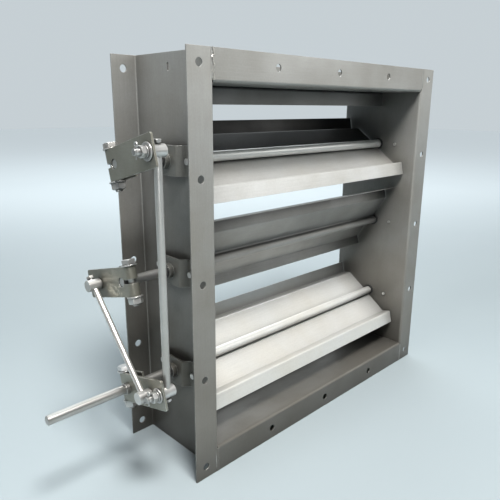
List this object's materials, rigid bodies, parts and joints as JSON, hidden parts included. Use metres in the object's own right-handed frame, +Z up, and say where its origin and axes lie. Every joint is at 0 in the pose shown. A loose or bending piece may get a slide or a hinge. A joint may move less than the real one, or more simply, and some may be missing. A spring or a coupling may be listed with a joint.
{
  "type": "volume control damper",
  "caption": "Multi-blade volume control damper: flanged square duct frame, opposed lipped blades on through shafts, with clamp cranks, link rods and a drive shaft on the left side.",
  "frame": {"origin": "centre of the front flange's front face (centre of the duct opening)", "axes": "+X to the right seen from the front (cranks and drive shaft are on the left, -X), +Y to the rear along the air path, +Z up"},
  "size_m": [0.747, 0.181, 0.58],
  "materials": {
    "frame_sheet": "satin galvanised sheet with faint rolling grain",
    "blade_sheet": "satin galvanised sheet",
    "weld": "rippled ground weld",
    "bracket_steel": "dull steel strip",
    "bush_brass": "plain turned bush",
    "bright_rod": "bright drawn bar",
    "crank_steel": "dull olive-grey steel strip",
    "zinc_hardware": "bright zinc plate"
  },
  "bodies": {
    "frame": {"frame_side_left": "frame_sheet", "frame_side_right": "frame_sheet", "frame_top": "frame_sheet", "frame_bottom": "frame_sheet", "corner_welds": "weld", "blade_stop_top": "frame_sheet", "blade_stop_bottom": "frame_sheet", "bearing_bracket_left_top": "bracket_steel", "bearing_bracket_left_middle": "bracket_steel", "bearing_bracket_left_bottom": "bracket_steel", "bearing_bracket_right_top": "bracket_steel", "bearing_bracket_right_middle": "bracket_steel", "bearing_bracket_right_bottom": "bracket_steel", "bearing_bushes_left": "bush_brass", "bearing_bushes_right": "bush_brass", "bracket_screws_left": "zinc_hardware", "bracket_screws_right": "zinc_hardware"},
    "top_blade": {"blade_top": "blade_sheet", "blade_wrap_top": "blade_sheet", "blade_welds_top": "weld", "shaft_top": "bright_rod", "lever_top": "crank_steel", "clamp_bolt_top": "zinc_hardware", "clamp_washers_top": "zinc_hardware", "clamp_nut_top": "zinc_hardware"},
    "middle_blade": {"blade_middle": "blade_sheet", "blade_wrap_middle": "blade_sheet", "blade_welds_middle": "weld", "shaft_middle": "bright_rod", "lever_middle": "crank_steel", "clamp_bolt_middle": "zinc_hardware", "clamp_washers_middle": "zinc_hardware", "clamp_nut_middle": "zinc_hardware", "crank_pin_middle": "zinc_hardware"},
    "drive_blade": {"blade_bottom": "blade_sheet", "blade_wrap_bottom": "blade_sheet", "blade_welds_bottom": "weld", "shaft_drive": "bright_rod", "drive_collar": "crank_steel", "lever_bottom": "crank_steel", "clamp_bolt_bottom": "zinc_hardware", "clamp_washers_bottom": "zinc_hardware", "clamp_nut_bottom": "zinc_hardware"},
    "vertical_link": {"link_rod_vertical": "bright_rod", "rod_swivels_vertical": "zinc_hardware", "rod_set_screws_vertical": "zinc_hardware", "rod_washers_vertical": "zinc_hardware", "rod_nuts_vertical": "zinc_hardware", "split_pins_vertical": "zinc_hardware"},
    "diagonal_link": {"link_rod_diagonal": "bright_rod", "rod_swivels_diagonal": "zinc_hardware", "rod_set_screws_diagonal": "zinc_hardware", "rod_clip_diagonal": "zinc_hardware"}
  },
  "joints": [
    {"name": "blade_top_pivot", "type": "hinge", "parent": "frame", "child": "top_blade", "pos_m": [0, 0.0825, 0.15333], "axis": [1, 0, 0], "range_deg": [-36, 54]},
    {"name": "blade_middle_pivot", "type": "hinge", "parent": "frame", "child": "middle_blade", "pos_m": [0, 0.0825, 0], "axis": [1, 0, 0], "range_deg": [-34.02, 22.68]},
    {"name": "drive_shaft_pivot", "type": "hinge", "parent": "frame", "child": "drive_blade", "pos_m": [0, 0.0825, -0.15333], "axis": [1, 0, 0], "range_deg": [-36, 54]},
    {"name": "vertical_link_pivot", "type": "hinge", "parent": "drive_blade", "child": "vertical_link", "pos_m": [-0.3285, 0.00812, -0.1334], "axis": [1, 0, 0], "range_deg": [-54, 36]},
    {"name": "diagonal_link_pivot", "type": "hinge", "parent": "drive_blade", "child": "diagonal_link", "pos_m": [-0.3526, 0.02648, -0.13832], "axis": [1, 0, 0], "range_deg": [-48.06, 32.04]}
  ],
  "couplings": [
    {"joint": "blade_top_pivot", "follows": "drive_shaft_pivot", "ratio": 1},
    {"joint": "blade_middle_pivot", "follows": "drive_shaft_pivot", "ratio": -0.63},
    {"joint": "vertical_link_pivot", "follows": "drive_shaft_pivot", "ratio": -1},
    {"joint": "diagonal_link_pivot", "follows": "drive_shaft_pivot", "ratio": -0.89}
  ]
}
